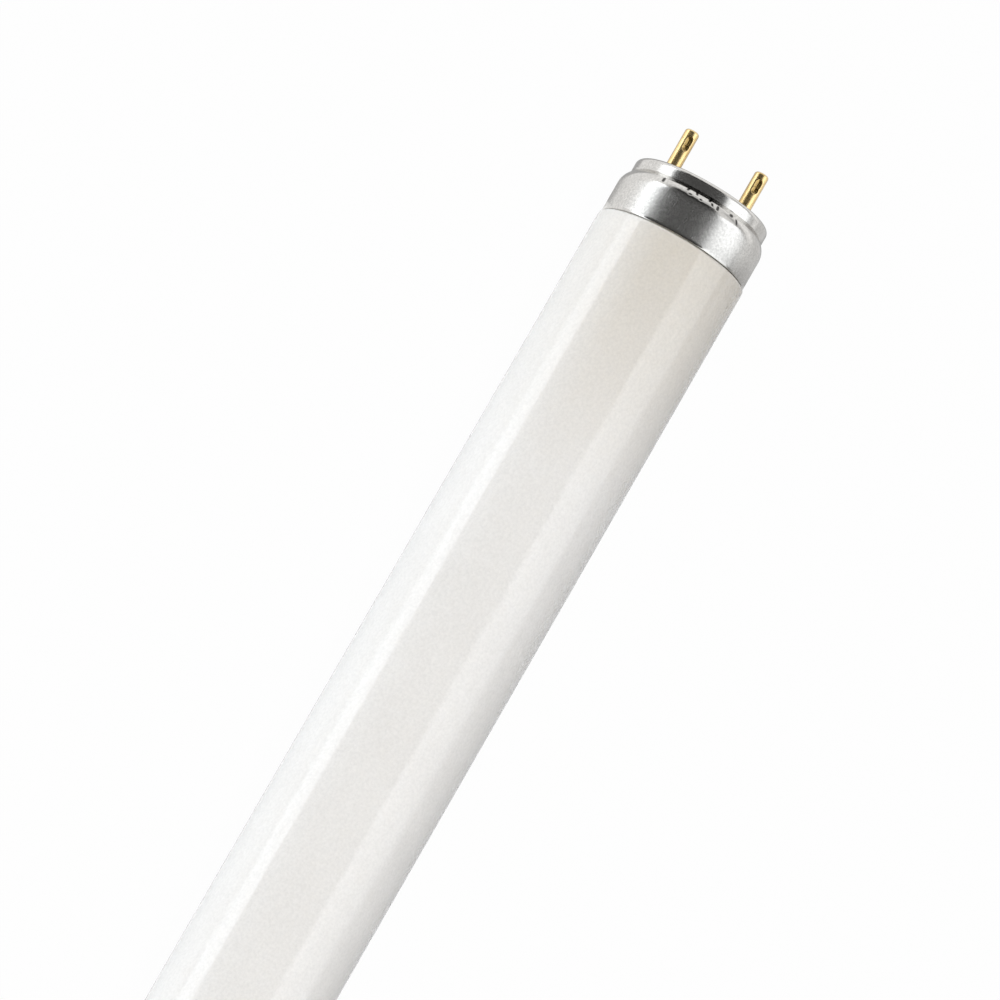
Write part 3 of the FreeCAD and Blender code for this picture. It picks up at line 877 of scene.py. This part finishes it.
class TUBE_OT_stage(bpy.types.Operator):
    """Set up the floor, the room, the cloths, the lights and the camera"""

    bl_idname = "tube.stage"
    bl_label = "Stage"

    floor_reach = 80.0
    # Cloths round the camera: distance from the axis, and degrees round it from the camera's side
    cloth_distance = 0.9
    cloth_turns = range(-60, 37, 4)
    # Grey cloth: distance from the tube's middle, and degrees round it from the near pins
    grey_distance = 2.5
    grey_bearings = range(-110, -19, 10)
    # Sheets on the floor, the front one and the one under the near cap as painted shadow: heights above it,
    # and edges along and across the tube
    sheet_height = 0.0005
    under_height = 0.001
    sheet_start = -0.6
    sheet_past_face = 0.03
    sheet_side = 0.3
    rear_edge = 1.05 * TUBE_RADIUS
    under_edge = 1.6 * TUBE_RADIUS
    under_past_lip = 0.004
    end_stop = 4.0
    end_side = 1.5
    # Lights: distances from the axis, sizes along and across the tube, and the board's place
    strip_distance = 0.7
    top_distance = 1.0
    top_size = (1.6, 0.5)
    board_size = (1.6, 0.4)
    board_side = 0.23
    board_height = 0.002
    # Camera: width of its sensor in millimetres, and the distances between which it sees
    sensor_width = 36.0
    clip_start = 0.1
    clip_end = 500.0

    def execute(self, context):
        settings = read("tube_stage")
        context.scene.view_settings.view_transform = "Standard"
        self.floor(settings)
        self.room(context, settings)
        self.cloths(settings)
        self.sheets(settings)
        self.strips(settings)
        self.softboxes(settings)
        self.camera(context, settings)
        return {"FINISHED"}

    def towards(self, settings, turn):
        """Direction from the tube, square to it, at an angle round it from the camera's side."""
        front = Vector((0, math.sin(settings.lean), math.cos(settings.lean)))
        side = ALONG.cross(front)
        return front * math.cos(turn) + side * math.sin(turn)

    def white_rays(self, tree, seen, mirrored):
        """Factor for rays that see the background: from the camera or through glass, and in reflections."""
        path = node(tree, "ShaderNodeLightPath").outputs
        direct = maths(tree, "MAXIMUM", path["Is Camera Ray"], path["Is Transmission Ray"])
        straight = maths(tree, "MULTIPLY", direct, seen)
        reflected = maths(tree, "MULTIPLY", path["Is Glossy Ray"], mirrored)
        return maths(tree, "MAXIMUM", straight, reflected)

    def floor(self, settings):
        """A pale floor that keeps the shadow, white to the camera."""
        reach = self.floor_reach
        mesh = bpy.data.meshes.new("floor")
        corners = [(-reach, -reach, 0), (reach, -reach, 0), (reach, reach, 0), (-reach, reach, 0)]
        mesh.from_pydata(corners, [], [(0, 1, 2, 3)])
        floor = linked("floor", mesh)
        floor.location.z = -TUBE_RADIUS
        material, tree, shader = new_material("pale_floor")
        shade = rgba([settings.floor_shade] * 3)
        fill(tree, shader, {"Base Color": shade, "Roughness": 0.9, "Specular IOR Level": 0.1})
        white = node(tree, "ShaderNodeEmission", {"Color": WHITE, "Strength": 1.0})
        factor = self.white_rays(tree, settings.floor_white, settings.floor_mirror)
        mix = node(tree, "ShaderNodeMixShader", {0: factor, 1: shader.outputs[0], 2: white.outputs[0]})
        fill(tree, tree.nodes["Material Output"], {"Surface": mix.outputs[0]})
        mesh.materials.append(material)

    def room(self, context, settings):
        """A dim room that is white behind the floor and in reflections."""
        world = bpy.data.worlds.new("room")
        context.scene.world = world
        world.use_nodes = True
        tree = world.node_tree
        dim = tree.nodes["Background"]
        fill(tree, dim, {"Color": WHITE, "Strength": settings.ambient})
        white = node(tree, "ShaderNodeBackground", {"Color": WHITE, "Strength": 1.0})
        factor = self.white_rays(tree, 1.0, 1.0)
        mix = node(tree, "ShaderNodeMixShader", {0: factor, 1: dim.outputs[0], 2: white.outputs[0]})
        fill(tree, tree.nodes["World Output"], {"Surface": mix.outputs[0]})

    def cloth(self, name, pairs, brightness):
        """A sheet between pairs of edge points, which shows only in reflections."""
        corners = [point for pair in pairs for point in pair]
        faces = [(2 * i, 2 * i + 1, 2 * i + 3, 2 * i + 2) for i in range(len(pairs) - 1)]
        mesh = bpy.data.meshes.new(name)
        mesh.from_pydata(corners, [], faces)
        sheet = linked(name, mesh)
        for kind in ("camera", "diffuse", "transmission", "volume_scatter", "shadow"):
            setattr(sheet, "visible_" + kind, False)
        material, tree, _ = new_material(name)
        glow = node(tree, "ShaderNodeEmission", {"Color": WHITE, "Strength": brightness})
        fill(tree, tree.nodes["Material Output"], {"Surface": glow.outputs[0]})
        mesh.materials.append(material)

    def cloths(self, settings):
        """Cloths round the camera, one after the other along the tube, and a grey one on the front side."""
        turns = [math.radians(turn) for turn in self.cloth_turns]
        directions = [self.towards(settings, turn) * self.cloth_distance for turn in turns]
        stretches = (
            ("black_cloth_far", settings.black_start, settings.dark_start, settings.black_brightness),
            ("dark_cloth", settings.dark_start, settings.dark_stop, settings.dark_brightness),
            ("black_cloth_near", settings.dark_stop, settings.black_stop, settings.black_brightness),
            ("pale_cloth", settings.black_stop, settings.pale_stop, settings.pale_brightness),
            ("white_cloth", settings.pale_stop, settings.white_stop, settings.white_brightness),
        )
        for name, first, last, brightness in stretches:
            pairs = [((first, d.y, d.z), (last, d.y, d.z)) for d in directions]
            self.cloth(name, pairs, brightness)
        away = self.grey_distance
        bearings = [math.radians(bearing) for bearing in self.grey_bearings]
        spots = [(away * math.cos(bearing), away * math.sin(bearing)) for bearing in bearings]
        pairs = [((x, y, -TUBE_RADIUS), (x, y, settings.grey_height)) for x, y in spots]
        self.cloth("grey_cloth", pairs, settings.grey_brightness)

    def sheets(self, settings):
        """Sheets on the floor beside the tube, under the near cap and beyond the pins."""
        height = self.sheet_height
        stop = FACE + self.sheet_past_face
        beside = (self.sheet_start, stop)
        below = (LIP + self.under_past_lip, stop)
        side = self.sheet_side
        under = self.under_edge
        end = self.end_side
        sheets = (
            ("rear_sheet", height, beside, (self.rear_edge, side), settings.rear_sheet),
            # Painted shadow: the front sheet and the under sheet stand for the tube's shadow on the floor,
            # in reflections
            ("front_shadow_sheet", height, beside, (-side, -under), settings.front_shadow_sheet),
            ("under_shadow_sheet", self.under_height, below, (-under, under), settings.under_shadow_sheet),
            ("end_sheet", height, (stop, self.end_stop), (-end, end), settings.end_sheet),
        )
        for name, raised, along, across, brightness in sheets:
            z = raised - TUBE_RADIUS
            pairs = [((along[0], y, z), (along[1], y, z)) for y in across]
            self.cloth(name, pairs, brightness)

    def lamp(self, name, place, facing, size, shade, brightness, kind):
        """An area lamp with its length along the tube, which lights only one kind of ray."""
        lamp = bpy.data.lights.new(name, "AREA")
        lamp.shape = "RECTANGLE"
        lamp.size = size[0]
        lamp.size_y = size[1]
        lamp.color = shade
        lamp.energy = brightness * math.pi * lamp.size * lamp.size_y
        box = linked(name, lamp)
        across = facing.cross(ALONG)
        turn = Matrix((ALONG, across, facing)).transposed().to_4x4()
        box.matrix_world = Matrix.Translation(place) @ turn
        box.visible_camera = False
        box.visible_diffuse = kind == "diffuse"
        box.visible_glossy = kind == "glossy"

    def strips(self, settings):
        """Two long strip lights whose reflections run along the tube."""
        distance = self.strip_distance
        key = ("strip_key", settings.key_turn, settings.key_reach, settings.key_brightness)
        fill_in = ("strip_fill", settings.fill_turn, settings.fill_reach, settings.fill_brightness)
        for name, turn, reach, brightness in (key, fill_in):
            away = self.towards(settings, turn)
            size = (settings.strip_length, 2 * distance * math.tan(reach))
            place = away * distance + ALONG * settings.strip_place
            self.lamp(name, place, away, size, settings.side_lamp, brightness, "glossy")

    def softboxes(self, settings):
        """The overhead light, and a bright board on the floor beside the tube."""
        away = self.towards(settings, settings.top_turn)
        place = away * self.top_distance
        bright = settings.top_brightness
        self.lamp("overhead", place, away, self.top_size, settings.lamp, bright, "diffuse")
        place = Vector((0, self.board_side, self.board_height - TUBE_RADIUS))
        down = Vector((0, 0, -1))
        bright = settings.board_brightness
        self.lamp("board", place, down, self.board_size, settings.side_lamp, bright, "diffuse")

    def camera(self, context, settings):
        """A far camera with a long lens, so that the tube's sides look parallel."""
        front = self.towards(settings, 0)
        back = front * math.cos(settings.tilt) - ALONG * math.sin(settings.tilt)
        axis = (ALONG - back * back.x).normalized()
        side = axis.cross(back)
        right = axis * math.cos(settings.roll) + side * math.sin(settings.roll)
        up = axis * math.sin(settings.roll) - side * math.cos(settings.roll)
        data = bpy.data.cameras.new("camera")
        data.lens = settings.lens
        data.sensor_width = self.sensor_width
        data.clip_start = self.clip_start
        data.clip_end = self.clip_end
        distance = settings.frame_width * data.lens / data.sensor_width
        aim = ALONG * (LIP - settings.aim_back) - side * settings.aim_side
        camera = linked("camera", data)
        turn = Matrix((right, up, back)).transposed().to_4x4()
        camera.matrix_world = Matrix.Translation(aim + back * distance) @ turn
        context.scene.camera = camera


GROUPS = (
    ("tube_glass", GlassSettings),
    ("tube_cap", CapSettings),
    ("tube_pin", PinSettings),
    ("tube_inner", InnerSettings),
    ("tube_stage", StageSettings),
)
OPERATORS = (TUBE_OT_glass, TUBE_OT_caps, TUBE_OT_plates, TUBE_OT_pins, TUBE_OT_hidden, TUBE_OT_stage)


class TUBE_PT_panel(bpy.types.Panel):
    """Lists the pieces, the stage and their settings"""

    bl_idname = "TUBE_PT_panel"
    bl_label = "Fluorescent tube"
    bl_space_type = "VIEW_3D"
    bl_region_type = "UI"
    bl_category = "Tube"

    def draw(self, context):
        for operator in OPERATORS:
            self.layout.operator(operator.bl_idname)
        for name, group in GROUPS:
            column = self.layout.column(heading=group.__doc__)
            for setting in group.__annotations__:
                column.prop(getattr(context.scene, name), setting)


def register():
    for name, group in GROUPS:
        bpy.utils.register_class(group)
        setattr(bpy.types.Scene, name, bpy.props.PointerProperty(type=group))
    for operator in OPERATORS:
        bpy.utils.register_class(operator)
    bpy.utils.register_class(TUBE_PT_panel)


def unregister():
    bpy.utils.unregister_class(TUBE_PT_panel)
    for operator in reversed(OPERATORS):
        bpy.utils.unregister_class(operator)
    for name, group in reversed(GROUPS):
        delattr(bpy.types.Scene, name)
        bpy.utils.unregister_class(group)


def main():
    register()
    bpy.ops.tube.glass()
    bpy.ops.tube.caps()
    bpy.ops.tube.plates()
    bpy.ops.tube.pins()
    bpy.ops.tube.hidden()
    bpy.ops.tube.stage()


if __name__ == "__main__":
    main()
